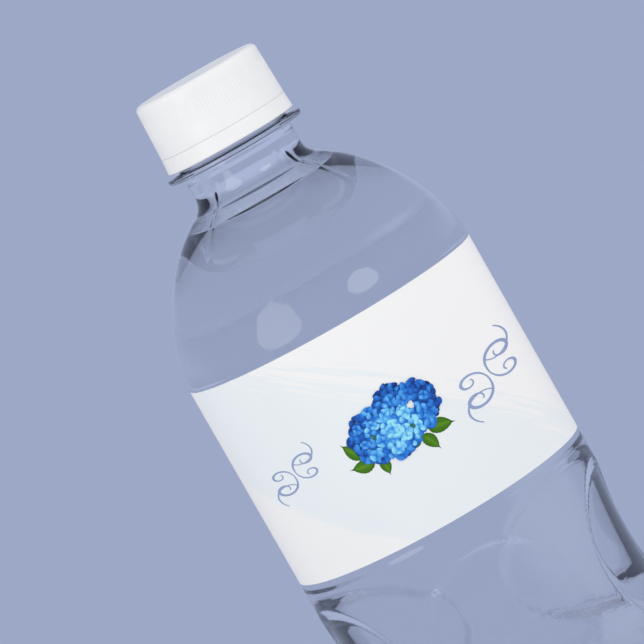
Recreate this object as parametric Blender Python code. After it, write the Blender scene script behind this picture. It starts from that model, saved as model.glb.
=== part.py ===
"""A 500 ml still-water bottle: blown body, screw cap, tamper band, liner, wrapped label and the water.

Metres, +Z up, the origin at the centre of the foot that the bottle stands on, one dimple facing -Y.
"""

import math

import bmesh
import bpy
from mathutils import Vector

MM = 0.001

# Blown body, from the foot up
BODY_RADIUS = 33.9 * MM
BODY_WALL = 0.4 * MM
BASE_WALL = 0.9 * MM
HEEL_WIDTH = 7.9 * MM  # from the side in to the foot
FOOT_WIDTH = 3.5 * MM
PUNT_HEIGHT = 6.0 * MM
HEEL_HEIGHT = 14.0 * MM
FLUTE_LIFT = 2.6 * MM  # how far each radial flute rises out of the foot
FLUTE_SPREAD = math.radians(13)  # half of the angle that one flute takes
GROOVE_COUNT = 2
GROOVE_FIRST_Z = 24.0 * MM
GROOVE_PITCH = 6.0 * MM
GROOVE_WIDTH = 4.0 * MM
GROOVE_DEPTH = 1.1 * MM
DIMPLE_COUNT = 5
DIMPLE_RADIUS = 18.8 * MM
DIMPLE_RIM = 2.7 * MM  # width of the sloped rim round each dimple
DIMPLE_RIM_DEPTH = 0.9 * MM
DIMPLE_DEPTH = 2.1 * MM
GROOVE_TO_DIMPLE = 9.3 * MM
DIMPLE_TO_PANEL = 5.7 * MM
PANEL_DEPTH = 0.5 * MM
PANEL_CHAMFER = 0.5 * MM
PANEL_MARGIN = 0.6 * MM  # bare panel above and below the label
SHOULDER_BAND = 0.9 * MM
DOME_HEIGHT = 33.4 * MM
DOME_POWER = 1.55

# Neck and finish
NECK_RADIUS = 12.65 * MM
NECK_WALL = 2.05 * MM
FINISH_WALL = 1.6 * MM
NECK_LENGTH = 5.4 * MM
ROOT_FILLET = 1.9 * MM
ROOT_FILLET_HEIGHT = 2.9 * MM
ROOT_BEND = (0.3, 0.42)  # shares of the fillet's width and height at which it bends
ROOT_BEND_WALL = 0.75  # the wall there, as a share of the neck's
RING_PROUD = 3.25 * MM
RING_THICKNESS = 1.4 * MM
BEAD_PROUD = 1.2 * MM
BEAD_HEIGHT = 1.2 * MM
LAND_CHAMFER = 0.25 * MM

# Screw thread, one start, right-handed
THREAD_PITCH = 2.7 * MM
THREAD_DEPTH = 0.95 * MM
THREAD_ROOT_WIDTH = 1.4 * MM
THREAD_CREST_WIDTH = 0.6 * MM
NECK_THREAD_TURNS = 1.5
CAP_THREAD_TURNS = 1.25
THREAD_TOP = 2.6 * MM  # top end of the neck thread below the land
THREAD_CLEARANCE = 0.3 * MM
THREAD_BURIED = 0.35 * MM  # how deep a ridge starts inside its wall
THREAD_RUN_OUT = 5  # columns over which a ridge rises at each end
THREAD_END = 0.25  # height of a ridge at its very ends, as a share of the full height

# Cap, liner and tamper band
CAP_WALL = 0.95 * MM
CAP_TOP = 0.95 * MM
CAP_TAIL = 0.6 * MM  # plain skirt below the cap's thread
CAP_EDGE_ROUND = 1.3 * MM
CAP_FLARE = 0.35 * MM
LINER_THICKNESS = 0.9 * MM
LINER_GAP = 0.3 * MM
BAND_HEIGHT = 3.5 * MM
BAND_TO_RING = 0.9 * MM
BAND_WALL = 1.15 * MM
BAND_CLEARANCE = 0.45 * MM
BAND_LIP_HEIGHT = 0.9 * MM
BAND_LIP_SLOPE = 0.54 * MM
BAND_LIP_CLEARANCE = 0.3 * MM
BEAD_TO_LIP = 0.26 * MM
SLIT = 0.5 * MM
BRIDGE_COUNT = 8
BRIDGE_WIDTH = 0.9 * MM
BRIDGE_GAP = 0.3 * MM

# Label and water
LABEL_HEIGHT = 46.9 * MM
LABEL_THICKNESS = 0.12 * MM
LABEL_GAP = 0.3 * MM
LABEL_GLUE = 0.1 * MM  # between the start of the strip and the end that lies over it
LABEL_OVERLAP = 1  # columns by which the strip's end lies over its start
HEADSPACE = 28.4 * MM
WATER_GAP = 0.3 * MM

COLUMNS = 40
FRONT = math.radians(-90)

# Heights that follow from the sizes above
FOOT_OUTER = BODY_RADIUS - HEEL_WIDTH
FOOT_INNER = FOOT_OUTER - FOOT_WIDTH
GROOVE_LAST_Z = GROOVE_FIRST_Z + GROOVE_PITCH * (GROOVE_COUNT - 1)
DIMPLE_Z = GROOVE_LAST_Z + GROOVE_WIDTH / 2 + GROOVE_TO_DIMPLE + DIMPLE_RADIUS
PANEL_LOW = DIMPLE_Z + DIMPLE_RADIUS + DIMPLE_TO_PANEL
LABEL_LOW = PANEL_LOW + PANEL_MARGIN
PANEL_HIGH = LABEL_LOW + LABEL_HEIGHT + PANEL_MARGIN
DOME_LOW = PANEL_HIGH + PANEL_CHAMFER + SHOULDER_BAND
DOME_JOIN = NECK_RADIUS + ROOT_FILLET
DOME_HIGH = DOME_LOW + DOME_HEIGHT * (1 - (DOME_JOIN / BODY_RADIUS) ** 2) ** (1 / DOME_POWER)
NECK_LOW = DOME_HIGH + ROOT_FILLET_HEIGHT
RING_LOW = NECK_LOW + NECK_LENGTH
RING_HIGH = RING_LOW + RING_THICKNESS
RING_RADIUS = NECK_RADIUS + RING_PROUD
BORE_RADIUS = NECK_RADIUS - NECK_WALL
FINISH_ROOT = BORE_RADIUS + FINISH_WALL
BAND_LOW = RING_HIGH + BAND_TO_RING
BAND_HIGH = BAND_LOW + BAND_HEIGHT
CAP_LOW = BAND_HIGH + SLIT
# The neck's thread starts half a pitch above the cap's, so that each runs in the middle of the other's gap
CAP_THREAD_LOW = CAP_LOW + CAP_TAIL + THREAD_ROOT_WIDTH / 2
NECK_THREAD_LOW = CAP_THREAD_LOW + THREAD_PITCH / 2
LAND = NECK_THREAD_LOW + THREAD_PITCH * NECK_THREAD_TURNS + THREAD_TOP
WATER_TOP = LAND - HEADSPACE
CAP_INNER = FINISH_ROOT + THREAD_DEPTH + THREAD_CLEARANCE
CAP_UNDERSIDE = LAND + LINER_GAP + LINER_THICKNESS + LINER_GAP
CAP_HIGH = CAP_UNDERSIDE + CAP_TOP
BEAD_LOW = BAND_LOW + BAND_LIP_HEIGHT + BAND_LIP_SLOPE + BEAD_TO_LIP
BEAD_RADIUS = FINISH_ROOT + BEAD_PROUD
BAND_INNER = BEAD_RADIUS + BAND_CLEARANCE
LINER_RADIUS = CAP_INNER - THREAD_DEPTH - THREAD_CLEARANCE


def clear_scene():
    for old in list(bpy.data.objects):
        bpy.data.objects.remove(old)


def material(name, colour, roughness, transmission=0.0):
    made = bpy.data.materials.new(name)
    made.use_nodes = True
    shader = made.node_tree.nodes["Principled BSDF"]
    shader.inputs["Base Color"].default_value = (*colour, 1)
    shader.inputs["Roughness"].default_value = roughness
    shader.inputs["Metallic"].default_value = 0
    shader.inputs["Transmission Weight"].default_value = transmission
    made.diffuse_color = (*colour, 1)
    return made


def add_object(name, bm, look=None, seat=0.0):
    """Makes an object whose origin is on the bottle's axis at the height seat."""
    bmesh.ops.recalc_face_normals(bm, faces=bm.faces)
    bmesh.ops.translate(bm, verts=bm.verts, vec=(0, 0, -seat))
    mesh = bpy.data.meshes.new(name)
    bm.to_mesh(mesh)
    bm.free()
    mesh.shade_smooth()
    mesh.set_sharp_from_angle(angle=math.radians(35))
    made = bpy.data.objects.new(name, mesh)
    made.location.z = seat
    bpy.context.scene.collection.objects.link(made)
    if look:
        mesh.materials.append(look)
    return made


def join_to(body, helper):
    """Unions a helper's shape into the body and leaves the helper out of the model."""
    helper.hide_render = True
    helper.display_type = "WIRE"
    union = body.modifiers.new("Join " + helper.name, "BOOLEAN")
    union.operation = "UNION"
    union.solver = "EXACT"
    union.object = helper


def spun(outline, closed=False):
    """A solid of revolution about Z from (radius, height) points, open at the axis unless closed."""
    bm = bmesh.new()
    line = [bm.verts.new((radius, 0, height)) for radius, height in outline]
    for first, second in zip(line, line[1:]):
        bm.edges.new((first, second))
    if closed:
        bm.edges.new((line[-1], line[0]))
    bmesh.ops.spin(
        bm,
        geom=bm.verts[:] + bm.edges[:],
        cent=(0, 0, 0),
        axis=(0, 0, 1),
        angle=math.tau,
        steps=COLUMNS,
    )
    bmesh.ops.remove_doubles(bm, verts=bm.verts, dist=0.002 * MM)
    return bm


def quarter(start, end, steps):
    """Points of an elliptical quarter that leaves start level and arrives at end upright."""
    turns = [math.pi / 2 * i / steps for i in range(1, steps)]
    across, up = end[0] - start[0], end[1] - start[1]
    return [(start[0] + across * math.sin(t), start[1] + up * (1 - math.cos(t))) for t in turns]


def dome_radius(height):
    return BODY_RADIUS * math.sqrt(1 - (height / DOME_HEIGHT) ** DOME_POWER)


def body_line():
    """The outside of the blown body from the punt's centre up to the ring, as (radius, height, wall)."""
    punt = [
        (FOOT_INNER * share, PUNT_HEIGHT * math.cos(math.pi / 2 * share), BASE_WALL)
        for share in (0, 0.35, 0.7)
    ]
    foot = [(FOOT_INNER, 0, BASE_WALL), (FOOT_OUTER, 0, BASE_WALL)]
    heel = [
        (*point, BODY_WALL * 1.3)
        for point in quarter((FOOT_OUTER, 0), (BODY_RADIUS, HEEL_HEIGHT), 5)
    ]
    side = [(BODY_RADIUS, HEEL_HEIGHT)]
    for i in range(GROOVE_COUNT):
        middle = GROOVE_FIRST_Z + GROOVE_PITCH * i
        side.append((BODY_RADIUS, middle - GROOVE_WIDTH / 2))
        side.append((BODY_RADIUS - GROOVE_DEPTH, middle))
        side.append((BODY_RADIUS, middle + GROOVE_WIDTH / 2))
    for share in (-1, -0.88, -0.7, -0.4, 0, 0.4, 0.7, 0.88, 1):
        side.append((BODY_RADIUS, DIMPLE_Z + DIMPLE_RADIUS * share))
    side.append((BODY_RADIUS, PANEL_LOW - PANEL_CHAMFER))
    side.append((BODY_RADIUS - PANEL_DEPTH, PANEL_LOW))
    side.append((BODY_RADIUS - PANEL_DEPTH, PANEL_HIGH))
    side.append((BODY_RADIUS, PANEL_HIGH + PANEL_CHAMFER))
    side = [(*point, BODY_WALL) for point in side]
    dome_rise = DOME_HIGH - DOME_LOW
    dome = []
    for share in (0, 0.3, 0.52, 0.72, 0.87, 1):
        wall = BODY_WALL * (1 + 1.6 * share**4)
        dome.append((dome_radius(dome_rise * share), DOME_LOW + dome_rise * share, wall))
    neck_wall = NECK_RADIUS - BORE_RADIUS
    root = (
        NECK_RADIUS + ROOT_FILLET * ROOT_BEND[0],
        DOME_HIGH + ROOT_FILLET_HEIGHT * ROOT_BEND[1],
        neck_wall * ROOT_BEND_WALL,
    )
    neck = [(NECK_RADIUS, NECK_LOW, neck_wall), (NECK_RADIUS, RING_LOW, neck_wall)]
    return punt + foot + heel + side + dome + [root] + neck


def inside_line(extra=0.0):
    """The inner wall of the blown body, each point of body_line moved in by its wall plus extra."""
    line = body_line()
    moved = []
    for i, (radius, height, wall) in enumerate(line):
        before, after = line[max(i - 1, 0)], line[min(i + 1, len(line) - 1)]
        along = Vector((after[0] - before[0], after[1] - before[1])).normalized()
        if i == 0:
            along = Vector((1, 0))
        inwards = Vector((-along.y, along.x))
        moved.append((radius + inwards.x * (wall + extra), height + inwards.y * (wall + extra)))
    return moved


def finish_line():
    """The outside of the neck finish from the ring's underside up to the land and the mouth's edge."""
    return [
        (RING_RADIUS - RING_THICKNESS / 2, RING_LOW),
        (RING_RADIUS, RING_LOW + RING_THICKNESS * 0.4),
        (RING_RADIUS, RING_LOW + RING_THICKNESS * 0.7),
        (RING_RADIUS - RING_THICKNESS * 0.2, RING_HIGH),
        (FINISH_ROOT + BEAD_PROUD / 2, RING_HIGH),
        (FINISH_ROOT + BEAD_PROUD / 2, BEAD_LOW - BEAD_HEIGHT / 4),
        (BEAD_RADIUS, BEAD_LOW),
        (BEAD_RADIUS, BEAD_LOW + BEAD_HEIGHT / 2),
        (FINISH_ROOT, BEAD_LOW + BEAD_HEIGHT),
        (FINISH_ROOT, LAND - LAND_CHAMFER),
        (FINISH_ROOT - LAND_CHAMFER, LAND),
        (BORE_RADIUS + LAND_CHAMFER, LAND),
        (BORE_RADIUS, LAND - LAND_CHAMFER),
    ]


def smooth_step(value):
    value = min(1.0, max(0.0, value))
    return value * value * (3 - 2 * value)


def nearest_turn(angle, count, phase):
    """Signed angle from the nearest of count equally spaced directions, one of them at phase."""
    pitch = math.tau / count
    return (angle - phase + pitch / 2) % pitch - pitch / 2


def dimple_depth(angle, height):
    """How far the wall is pressed in at this place by the dimples round the grip."""
    across = BODY_RADIUS * nearest_turn(angle, DIMPLE_COUNT, FRONT)
    distance = math.hypot(across, height - DIMPLE_Z)
    floor_radius = DIMPLE_RADIUS - DIMPLE_RIM
    depth = DIMPLE_RIM_DEPTH * smooth_step((DIMPLE_RADIUS - distance) / DIMPLE_RIM)
    if distance < floor_radius:
        depth += (DIMPLE_DEPTH - DIMPLE_RIM_DEPTH) * (1 - (distance / floor_radius) ** 2)
    return depth


def flute_lift(angle, radius):
    """How far the base rises at this place in the radial flutes between the feet."""
    off = nearest_turn(angle, DIMPLE_COUNT, FRONT + math.pi / DIMPLE_COUNT)
    across = math.cos(min(1.0, abs(off) / FLUTE_SPREAD) * math.pi / 2) ** 2
    inner = smooth_step((radius - FOOT_INNER * 0.35) / (FOOT_INNER * 0.6))
    outer = smooth_step((BODY_RADIUS - BODY_WALL - radius) / (BODY_RADIUS - FOOT_OUTER))
    return FLUTE_LIFT * across * inner * outer


def press_wall(bm):
    """Presses the dimples into the side and lifts the flutes in the base, outer and inner walls alike."""
    for vertex in bm.verts:
        radius = math.hypot(vertex.co.x, vertex.co.y)
        if radius < 0.01 * MM:
            continue
        angle = math.atan2(vertex.co.y, vertex.co.x)
        if vertex.co.z < HEEL_HEIGHT:
            vertex.co.z += flute_lift(angle, radius)
        elif vertex.co.z < PANEL_LOW:
            share = (radius - dimple_depth(angle, vertex.co.z)) / radius
            vertex.co.x *= share
            vertex.co.y *= share
    # The pressed faces are split the same way on every wall, so that the walls keep their distance
    bmesh.ops.triangulate(bm, faces=bm.faces, quad_method="SHORT_EDGE")


def thread_ridge(name, wall_radius, crest_radius, low, turns):
    """A helical ridge from inside the wall out to its crest, its ends run out into the wall."""
    side = 1 if crest_radius > wall_radius else -1
    buried = wall_radius - side * THREAD_BURIED
    steps = round(COLUMNS * turns)
    bm = bmesh.new()
    rings = []
    for i in range(steps + 1):
        angle = math.tau * i / COLUMNS
        middle = low + THREAD_PITCH * i / COLUMNS
        run_out = smooth_step(min(i, steps - i) / THREAD_RUN_OUT)
        crest = buried + (crest_radius - buried) * max(run_out, THREAD_END)
        corners = (
            (buried, middle - THREAD_ROOT_WIDTH / 2),
            (buried, middle + THREAD_ROOT_WIDTH / 2),
            (crest, middle + THREAD_CREST_WIDTH / 2),
            (crest, middle - THREAD_CREST_WIDTH / 2),
        )
        ring = [bm.verts.new((r * math.cos(angle), r * math.sin(angle), z)) for r, z in corners]
        rings.append(ring)
    for first, second in zip(rings, rings[1:]):
        for k in range(4):
            bm.faces.new((first[k], first[k - 1], second[k - 1], second[k]))
    bm.faces.new(rings[0])
    bm.faces.new(rings[-1])
    return add_object(name, bm)


def make_bottle(look):
    outside = [point[:2] for point in body_line()]
    bm = spun(outside + finish_line() + inside_line()[::-1])
    press_wall(bm)
    bottle = add_object("bottle", bm, look)
    crest = FINISH_ROOT + THREAD_DEPTH
    ridge = thread_ridge("neck_thread", FINISH_ROOT, crest, NECK_THREAD_LOW, NECK_THREAD_TURNS)
    join_to(bottle, ridge)


def make_water(look):
    """The fill, a gap inside the wall all round and level at its top."""
    below = []
    for point in inside_line(WATER_GAP):
        if point[1] > WATER_TOP:
            last = below[-1]
            share = (WATER_TOP - last[1]) / (point[1] - last[1])
            below.append((last[0] + (point[0] - last[0]) * share, WATER_TOP))
            break
        below.append(point)
    bm = spun(below + [(0, WATER_TOP)])
    press_wall(bm)
    add_object("water", bm, look)


def make_cap(look):
    top_outer = CAP_INNER + CAP_WALL
    skirt_outer = top_outer + CAP_FLARE
    cut = CAP_EDGE_ROUND * (1 - math.sqrt(0.5))
    outline = [
        (0, CAP_HIGH),
        (top_outer - CAP_EDGE_ROUND, CAP_HIGH),
        (top_outer - cut, CAP_HIGH - cut),
        (top_outer, CAP_HIGH - CAP_EDGE_ROUND),
        (skirt_outer, CAP_LOW),
        (CAP_INNER, CAP_LOW),
        (CAP_INNER, CAP_UNDERSIDE),
        (0, CAP_UNDERSIDE),
    ]
    cap = add_object("cap", spun(outline), look, seat=CAP_LOW)
    crest = FINISH_ROOT + THREAD_CLEARANCE
    ridge = thread_ridge("cap_thread", CAP_INNER, crest, CAP_THREAD_LOW, CAP_THREAD_TURNS)
    join_to(cap, ridge)


def make_liner(look):
    low = LAND + LINER_GAP
    high = low + LINER_THICKNESS
    outline = [(0, low), (LINER_RADIUS, low), (LINER_RADIUS, high), (0, high)]
    add_object("cap_liner", spun(outline), look, seat=low)


def make_band(look):
    """The tamper band under the cap, with its inward lip below the bead and the broken bridges on top."""
    outer_low = BAND_INNER + BAND_WALL
    outer_high = CAP_INNER + CAP_WALL + CAP_FLARE
    lip = FINISH_ROOT + BEAD_PROUD / 2 + BAND_LIP_CLEARANCE
    outline = [
        (outer_low, BAND_LOW),
        (outer_high, BAND_HIGH),
        (BAND_INNER, BAND_HIGH),
        (BAND_INNER, BAND_LOW + BAND_LIP_HEIGHT + BAND_LIP_SLOPE),
        (lip, BAND_LOW + BAND_LIP_HEIGHT),
        (lip, BAND_LOW),
    ]
    band = add_object("tamper_band", spun(outline, closed=True), look, seat=BAND_LOW)
    bm = bmesh.new()
    depth = (outer_high - BAND_INNER) * 0.7
    low, high = BAND_HIGH - SLIT, CAP_LOW - BRIDGE_GAP
    middle = (outer_high + BAND_INNER) / 2
    for i in range(BRIDGE_COUNT):
        made = bmesh.ops.create_cube(bm, size=1)["verts"]
        bmesh.ops.scale(bm, verts=made, vec=(depth, BRIDGE_WIDTH, high - low))
        bmesh.ops.translate(bm, verts=made, vec=(middle, 0, (low + high) / 2))
        turn = math.tau * (i + 0.5) / BRIDGE_COUNT
        spin = [(math.cos(turn), -math.sin(turn)), (math.sin(turn), math.cos(turn))]
        for vertex in made:
            x, y = vertex.co.x, vertex.co.y
            vertex.co.x = spin[0][0] * x + spin[0][1] * y
            vertex.co.y = spin[1][0] * x + spin[1][1] * y
    join_to(band, add_object("bridges", bm))


def make_label(look):
    """One strip wrapped round the panel, its end climbing over its start behind the bottle."""
    start_radius = BODY_RADIUS - PANEL_DEPTH + LABEL_GAP
    lift = LABEL_THICKNESS + LABEL_GLUE
    bm = bmesh.new()
    rings = []
    for i in range(COLUMNS + LABEL_OVERLAP + 1):
        inner = start_radius + lift * smooth_step(i - COLUMNS + 1)
        outer = inner + LABEL_THICKNESS
        angle = FRONT + math.pi + math.tau * i / COLUMNS
        corners = (
            (inner, LABEL_LOW),
            (outer, LABEL_LOW),
            (outer, LABEL_LOW + LABEL_HEIGHT),
            (inner, LABEL_LOW + LABEL_HEIGHT),
        )
        ring = [bm.verts.new((r * math.cos(angle), r * math.sin(angle), z)) for r, z in corners]
        rings.append(ring)
    for first, second in zip(rings, rings[1:]):
        for k in range(4):
            bm.faces.new((first[k - 1], first[k], second[k], second[k - 1]))
    bm.faces.new(rings[0])
    bm.faces.new(rings[-1])
    add_object("label", bm, look, seat=LABEL_LOW)


def main():
    clear_scene()
    clear_plastic = material("clear_plastic", (0.86, 0.90, 0.96), 0.04, transmission=1.0)
    water = material("water", (0.90, 0.94, 1.0), 0.0, transmission=1.0)
    white_plastic = material("white_plastic", (0.88, 0.89, 0.90), 0.35)
    liner_foam = material("liner_foam", (0.80, 0.82, 0.84), 0.6)
    label_film = material("label_film", (0.90, 0.92, 0.93), 0.45)
    make_bottle(clear_plastic)
    make_water(water)
    make_cap(white_plastic)
    make_liner(liner_foam)
    make_band(white_plastic)
    make_label(label_film)


main()
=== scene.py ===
import math
import random

import bpy
import numpy as np
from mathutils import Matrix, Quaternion, Vector


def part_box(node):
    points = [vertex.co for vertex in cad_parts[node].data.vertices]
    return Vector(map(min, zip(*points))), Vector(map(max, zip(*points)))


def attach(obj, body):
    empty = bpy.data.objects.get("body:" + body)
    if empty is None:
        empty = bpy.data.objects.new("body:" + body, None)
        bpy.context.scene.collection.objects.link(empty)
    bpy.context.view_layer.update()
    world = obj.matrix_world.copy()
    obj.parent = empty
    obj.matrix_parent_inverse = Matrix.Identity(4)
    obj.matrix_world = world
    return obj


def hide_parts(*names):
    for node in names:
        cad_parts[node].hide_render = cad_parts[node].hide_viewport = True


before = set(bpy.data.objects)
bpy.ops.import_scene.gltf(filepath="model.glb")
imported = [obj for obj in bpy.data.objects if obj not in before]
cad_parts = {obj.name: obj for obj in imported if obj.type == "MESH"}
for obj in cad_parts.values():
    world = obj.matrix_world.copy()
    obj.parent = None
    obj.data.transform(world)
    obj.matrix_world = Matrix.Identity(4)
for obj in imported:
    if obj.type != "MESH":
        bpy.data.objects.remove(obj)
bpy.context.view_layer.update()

mm = 0.001
front = math.radians(-90)  # the side with a dimple in its middle

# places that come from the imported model
_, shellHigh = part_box("bottle")
_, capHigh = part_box("cap")
bandLow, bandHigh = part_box("tamper_band")
labelLow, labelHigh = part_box("label")
linerLow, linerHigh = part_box("cap_liner")
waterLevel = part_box("water")[1].z
bodyRadius = shellHigh.x
land = shellHigh.z


def deselectAll():
    if bpy.context.object and bpy.context.object.mode != "OBJECT":
        bpy.ops.object.mode_set(mode="OBJECT")
    bpy.ops.object.select_all(action="DESELECT")


def pick(obj):
    deselectAll()
    obj.select_set(True)
    bpy.context.view_layer.objects.active = obj


def settle(obj):
    # place, turn and scale go into the mesh, so that the object itself sits at the origin
    pick(obj)
    bpy.ops.object.transform_apply(location=True, rotation=True, scale=True)


def applyAll(obj):
    pick(obj)
    for modifier in list(obj.modifiers):
        bpy.ops.object.modifier_apply(modifier=modifier.name)


def joinPieces(made, name):
    pick(made[0])
    for piece in made:
        piece.select_set(True)
    bpy.ops.object.join()
    obj = bpy.context.object
    obj.name = name
    return obj


def smoothShade(obj, degrees=40):
    pick(obj)
    bpy.ops.object.shade_smooth_by_angle(angle=math.radians(degrees))


def ease(value):
    t = np.clip(value, 0, 1)
    return t * t * (3 - 2 * t)


def spinOutline(name, outline, columns, closed=False):
    # one vertex is pushed along the outline and the line is spun round the bottle's axis
    deselectAll()
    bpy.ops.mesh.primitive_plane_add(size=mm)
    obj = bpy.context.object
    obj.name = name
    bpy.ops.object.mode_set(mode="EDIT")
    bpy.ops.mesh.select_all(action="SELECT")
    bpy.ops.mesh.merge(type="CENTER")
    r, z = outline[0]
    bpy.ops.transform.translate(value=(r, 0, z))
    for step in outline[1:]:
        move = (step[0] - r, 0, step[1] - z)
        bpy.ops.mesh.extrude_vertices_move(TRANSFORM_OT_translate={"value": move})
        r, z = step
    if closed:
        bpy.ops.mesh.select_all(action="DESELECT")
        bpy.ops.object.mode_set(mode="OBJECT")
        obj.data.vertices[0].select = True
        obj.data.vertices[len(outline) - 1].select = True
        bpy.ops.object.mode_set(mode="EDIT")
        bpy.ops.mesh.edge_face_add()
    bpy.ops.mesh.select_all(action="SELECT")
    bpy.ops.mesh.spin(steps=columns, angle=math.tau, center=(0, 0, 0), axis=(0, 0, 1))
    bpy.ops.mesh.select_all(action="SELECT")
    bpy.ops.mesh.remove_doubles(threshold=0.004 * mm)
    bpy.ops.mesh.normals_make_consistent(inside=False)
    bpy.ops.object.mode_set(mode="OBJECT")
    return obj


def readPoints(obj):
    points = np.empty(len(obj.data.vertices) * 3)
    obj.data.vertices.foreach_get("co", points)
    return points.reshape(-1, 3)


def writePoints(obj, points):
    obj.data.vertices.foreach_set("co", points.ravel())
    obj.data.update()


def pushOut(obj, amount):
    # amount(angle, height, radius) is how far each point moves away from the axis
    points = readPoints(obj)
    radius = np.hypot(points[:, 0], points[:, 1])
    angle = np.arctan2(points[:, 1], points[:, 0])
    share = 1 + amount(angle, points[:, 2], radius) / np.maximum(radius, 0.01 * mm)
    points[:, 0] *= share
    points[:, 1] *= share
    writePoints(obj, points)


def nearestTurn(angle, count, phase):
    pitch = math.tau / count
    return (angle - phase + pitch / 2) % pitch - pitch / 2


def arc(centre, size, startDegrees, endDegrees, steps):
    turns = np.radians(np.linspace(startDegrees, endDegrees, steps))
    return [(centre[0] + size[0] * math.cos(t), centre[1] + size[1] * math.sin(t)) for t in turns]


bottle = {
    "columns": 200,
    "wall": 0.4 * mm,
    "baseWall": 0.9 * mm,
    "puntHeight": 6 * mm,
    "footInner": 22.5 * mm,
    "footOuter": 26 * mm,
    "heelHeight": 14 * mm,
    "fluteLift": 2.6 * mm,
    "fluteSpread": math.radians(13),
    "grooves": (24 * mm, 30 * mm),
    "grooveHalf": 2 * mm,
    "grooveDepth": 1.1 * mm,
    "dimpleCount": 5,
    "dimpleHeight": 60.1 * mm,
    "dimpleRadius": 18.8 * mm,
    "dimpleRim": 2.7 * mm,
    "dimpleRimDepth": 0.9 * mm,
    "dimpleDepth": 2.1 * mm,
    "panelGlue": 0.01 * mm,  # the label sticks to the panel, so its back lies a hair in the wall
    "panelMargin": 0.15 * mm,
    "panelRound": 1.1 * mm,
    "ledgeTop": 1.05 * mm,  # how far the ledge starts below the label
    "ledge": 1.3 * mm,
    "shoulderBand": 2.0 * mm,  # from the label up to the dome
    "domeHeight": 33.4 * mm,
    "domePower": 1.55,
    "neckRadius": 12.65 * mm,
    "boreRadius": 10.6 * mm,
    "neckLow": 167.3 * mm,
    "rootFillet": 2.0 * mm,
    "ringLow": 171.69 * mm,
    "ringHeight": 1.4 * mm,
    "ringRadius": 15.9 * mm,
    "ringRound": 0.22 * mm,
    "finishRoot": 12.2 * mm,
    "beadHeight": 2.6 * mm,
    "beadProud": 1.2 * mm,
    "threadDepth": 0.95 * mm,
    "threadPitch": 2.7 * mm,
    "threadTurns": 1.5,
    "threadTop": 2.6 * mm,
    "threadHalf": (0.65 * mm, 0.3 * mm),  # half the ridge's width at its root and its crest
    "ribCount": 4,
    "ribProud": 0.15 * mm,
    "ribWidth": 0.6 * mm,
    "ribLow": 150 * mm,
    "ribFade": 0.6,  # share of a rib's height over which it comes up
}
labelFilmThickness = 0.07 * mm
panelHigh = labelHigh.z + bottle["panelMargin"]
panelDepth = bodyRadius - (labelHigh.x - labelFilmThickness + bottle["panelGlue"])
ledgeHigh = labelLow.z - bottle["ledgeTop"]
ledgeLow = ledgeHigh - bottle["ledge"]
domeLow = labelHigh.z + bottle["shoulderBand"]
domeJoin = bottle["neckRadius"] + bottle["rootFillet"]
domeShare = (1 - (domeJoin / bodyRadius) ** 2) ** (1 / bottle["domePower"])
domeHigh = domeLow + bottle["domeHeight"] * domeShare


def domeRadius(height):
    rise = np.clip((height - domeLow) / bottle["domeHeight"], 0, 1)
    return bodyRadius * np.sqrt(1 - rise ** bottle["domePower"])


def sideRadius(height):
    # the body between the heel and the dome, with its grip grooves and the sunk label panel
    radius = bodyRadius
    for middle in bottle["grooves"]:
        off = min(abs(height - middle) / bottle["grooveHalf"], 1)
        radius -= bottle["grooveDepth"] * (0.5 + 0.5 * math.cos(math.pi * off))
    sunk = ease((height - ledgeLow) / bottle["ledge"])
    back = ease((panelHigh + bottle["panelRound"] - height) / bottle["panelRound"])
    return radius - panelDepth * float(min(sunk, back))


def bodyOutline():
    # outside of the body from the middle of the punt up to the ring, as radius and height
    b = bottle
    line = []
    for share in np.linspace(0, 1, 14):
        line.append((b["footInner"] * share, b["puntHeight"] * math.cos(math.pi / 2 * share)))
    line.append(((b["footInner"] + b["footOuter"]) / 2, 0))
    heel = (bodyRadius - b["footOuter"], b["heelHeight"])
    line += arc((b["footOuter"], b["heelHeight"]), heel, -90, 0, 18)
    rows = list(np.arange(b["heelHeight"] + 1 * mm, ledgeLow, 0.8 * mm))
    rows += list(np.linspace(ledgeLow, ledgeHigh, 10))
    rows += list(np.linspace(labelLow.z, labelHigh.z, 8))
    rows += list(np.linspace(panelHigh, panelHigh + b["panelRound"], 10))
    rows += list(np.linspace(panelHigh + b["panelRound"] + 0.2 * mm, domeLow, 3))
    line += [(sideRadius(height), height) for height in rows]
    for share in np.linspace(0, 1, 46)[1:]:
        height = domeLow + (domeHigh - domeLow) * share
        line.append((float(domeRadius(height)), height))
    low, high = Vector(line[-1]), Vector((b["neckRadius"], b["neckLow"]))
    slope = low - Vector(line[-2])
    corner = low + slope * ((high.x - low.x) / slope.x)
    for t in np.linspace(0, 1, 12)[1:]:
        line.append(tuple(low * (1 - t) ** 2 + corner * 2 * t * (1 - t) + high * t * t))
    step = 0.12 * mm
    for height in np.linspace(b["neckLow"] + 0.5 * mm, b["ringLow"] - 1.6 * mm, 5):
        line.append((b["neckRadius"], height))
    for height in np.linspace(b["ringLow"] - 1.2 * mm, b["ringLow"], 4):
        line.append((b["neckRadius"] + step, height))
    return line


def wallAt(height):
    if height < bottle["heelHeight"]:
        share = height / bottle["heelHeight"]
        return bottle["baseWall"] + (bottle["wall"] * 1.2 - bottle["baseWall"]) * ease(share)
    share = min(max((height - domeLow) / (domeHigh - domeLow), 0), 1)
    wall = bottle["wall"] * (1 + 1.6 * share**4)
    thick = bottle["neckRadius"] - bottle["boreRadius"]
    return wall + (thick - wall) * float(ease((height - domeHigh) / (bottle["neckLow"] - domeHigh)))


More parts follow.
